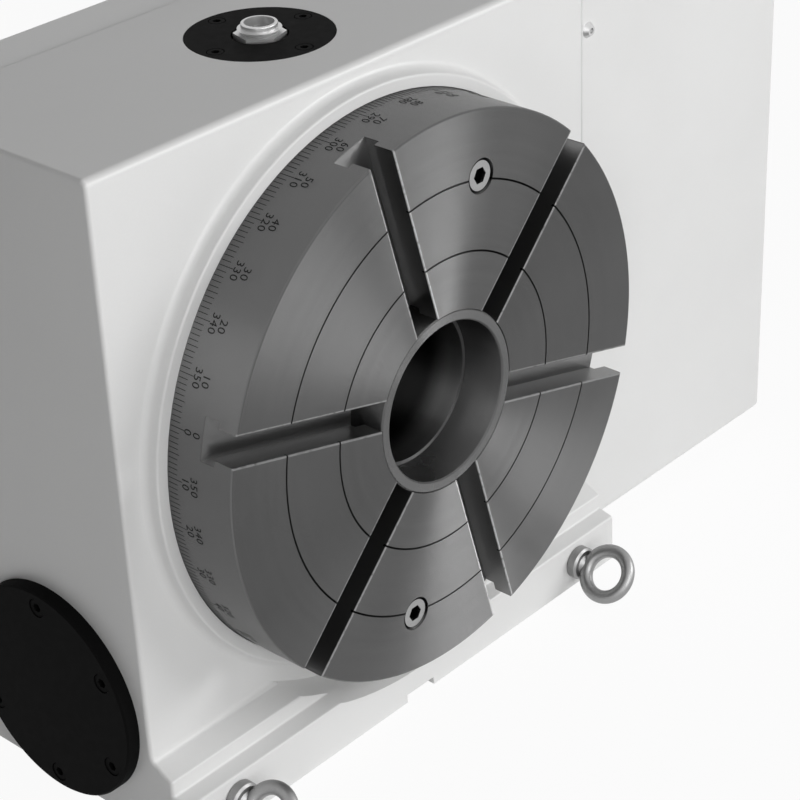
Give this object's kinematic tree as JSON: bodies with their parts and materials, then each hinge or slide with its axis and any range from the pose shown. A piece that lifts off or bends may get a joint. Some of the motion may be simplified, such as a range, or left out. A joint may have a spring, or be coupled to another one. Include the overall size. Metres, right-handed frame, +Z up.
{
  "type": "cnc rotary table",
  "caption": "Upright CNC rotary table: tee-slotted platter on a hollow spindle in a cast housing, with worm drive, belt, motor, disc brake, rear cover and lifting eyes.",
  "frame": {"origin": "on the spindle axis at the platter's front face, in the middle of the centre bore's mouth", "axes": "+X to the right seen from the front, towards the motor housing; +Y into the table, away from the work; +Z up"},
  "size_m": [0.556, 0.245, 0.379],
  "materials": {
    "casting_paint": "semi-gloss light grey enamel over cast iron",
    "housing_paint": "semi-gloss light grey enamel on sheet steel",
    "turned_steel": "fine-turned steel with circular lay",
    "ground_steel": "ground bright steel",
    "spindle_steel": "machined steel",
    "bearing_steel": "polished bearing steel",
    "black_screw": "black oxide",
    "bright_screw": "bright zinc",
    "black_cover": "black oxide finish",
    "eye_zinc": "dull zinc plate on forged steel",
    "worm_bronze": "machined bronze",
    "worm_steel": "hardened and ground steel",
    "brake_steel": "ground steel",
    "cast_grey": "machined cast iron",
    "plug_steel": "bright machined steel",
    "lens_glass": "clear glass over a dark well",
    "seal_rubber": "nitrile rubber",
    "belt_rubber": "matt rubber",
    "pulley_aluminium": "turned aluminium",
    "motor_black": "satin black paint",
    "black_plastic": "moulded, fine texture"
  },
  "bodies": {
    "housing": {"housing_casting": "casting_paint", "motor_housing": "housing_paint", "rear_cover": "housing_paint", "front_bearing_outer": "bearing_steel", "rear_bearing_outer": "bearing_steel", "worm_bearing_outer": "bearing_steel", "bearing_clamp_ring": "spindle_steel", "clamp_ring_screws": "black_screw", "spindle_seal": "seal_rubber", "worm_seal": "seal_rubber", "worm_cover": "black_cover", "worm_cover_screws": "black_screw", "top_plate": "black_cover", "top_plate_screws": "black_screw", "filler_plug": "plug_steel", "plug_lens": "lens_glass", "lifting_eye_left": "eye_zinc", "lifting_eye_right": "eye_zinc", "brake_ring": "brake_steel", "brake_ring_screws": "black_screw", "bearing_carrier": "cast_grey", "carrier_screws": "black_screw", "bearing_retainer": "spindle_steel", "retainer_screws": "black_screw", "rear_cover_screws": "black_screw", "rear_seal": "seal_rubber", "cover_button_screws": "black_screw", "cable_gland": "black_plastic", "bracket_posts": "spindle_steel", "motor_bracket": "spindle_steel", "bracket_screws": "black_screw", "motor_body": "motor_black", "motor_screws": "black_screw", "encoder_cap": "black_plastic", "timing_belt": "belt_rubber"},
    "platter": {"platter": "turned_steel", "centre_bush": "ground_steel", "platter_screws": "bright_screw", "spindle": "spindle_steel", "spindle_nut": "spindle_steel", "front_bearing_inner": "bearing_steel", "rear_bearing_inner": "bearing_steel", "wheel_hub": "cast_grey", "worm_wheel": "worm_bronze", "wheel_screws": "black_screw", "brake_disc": "brake_steel", "brake_disc_screws": "black_screw"},
    "front_rollers": {"front_bearing_rollers": "bearing_steel"},
    "rear_rollers": {"rear_bearing_rollers": "bearing_steel"},
    "worm": {"worm_shaft": "worm_steel", "worm_bearing_inner": "bearing_steel", "worm_nut": "worm_steel", "driven_pulley": "pulley_aluminium"},
    "worm_rollers": {"worm_bearing_rollers": "bearing_steel"},
    "motor_rotor": {"motor_rotor": "spindle_steel", "drive_pulley": "pulley_aluminium"},
    "brake_piston": {"brake_piston": "brake_steel"}
  },
  "joints": [
    {"name": "platter_turn", "type": "hinge", "parent": "housing", "child": "platter", "pos_m": [0, 0, 0], "axis": [0, -1, 0], "continuous": true},
    {"name": "front_rollers_turn", "type": "hinge", "parent": "housing", "child": "front_rollers", "pos_m": [0, 0.072, 0], "axis": [0, -1, 0], "continuous": true},
    {"name": "rear_rollers_turn", "type": "hinge", "parent": "housing", "child": "rear_rollers", "pos_m": [0, 0.182, 0], "axis": [0, -1, 0], "continuous": true},
    {"name": "worm_turn", "type": "hinge", "parent": "housing", "child": "worm", "pos_m": [0, 0.121, -0.134], "axis": [1, 0, 0], "continuous": true},
    {"name": "worm_rollers_turn", "type": "hinge", "parent": "housing", "child": "worm_rollers", "pos_m": [0, 0.121, -0.134], "axis": [1, 0, 0], "continuous": true},
    {"name": "motor_turn", "type": "hinge", "parent": "housing", "child": "motor_rotor", "pos_m": [0.25, 0.121, 0.016], "axis": [1, 0, 0], "continuous": true},
    {"name": "brake_piston_slide", "type": "slide", "parent": "housing", "child": "brake_piston", "axis": [0, -1, 0], "range_m": [0, 0.0008]}
  ],
  "couplings": [
    {"joint": "worm_turn", "follows": "platter_turn", "ratio": -72},
    {"joint": "motor_turn", "follows": "platter_turn", "ratio": -144},
    {"joint": "front_rollers_turn", "follows": "platter_turn", "ratio": 0.4782},
    {"joint": "rear_rollers_turn", "follows": "platter_turn", "ratio": 0.4697},
    {"joint": "worm_rollers_turn", "follows": "platter_turn", "ratio": -29.81}
  ]
}
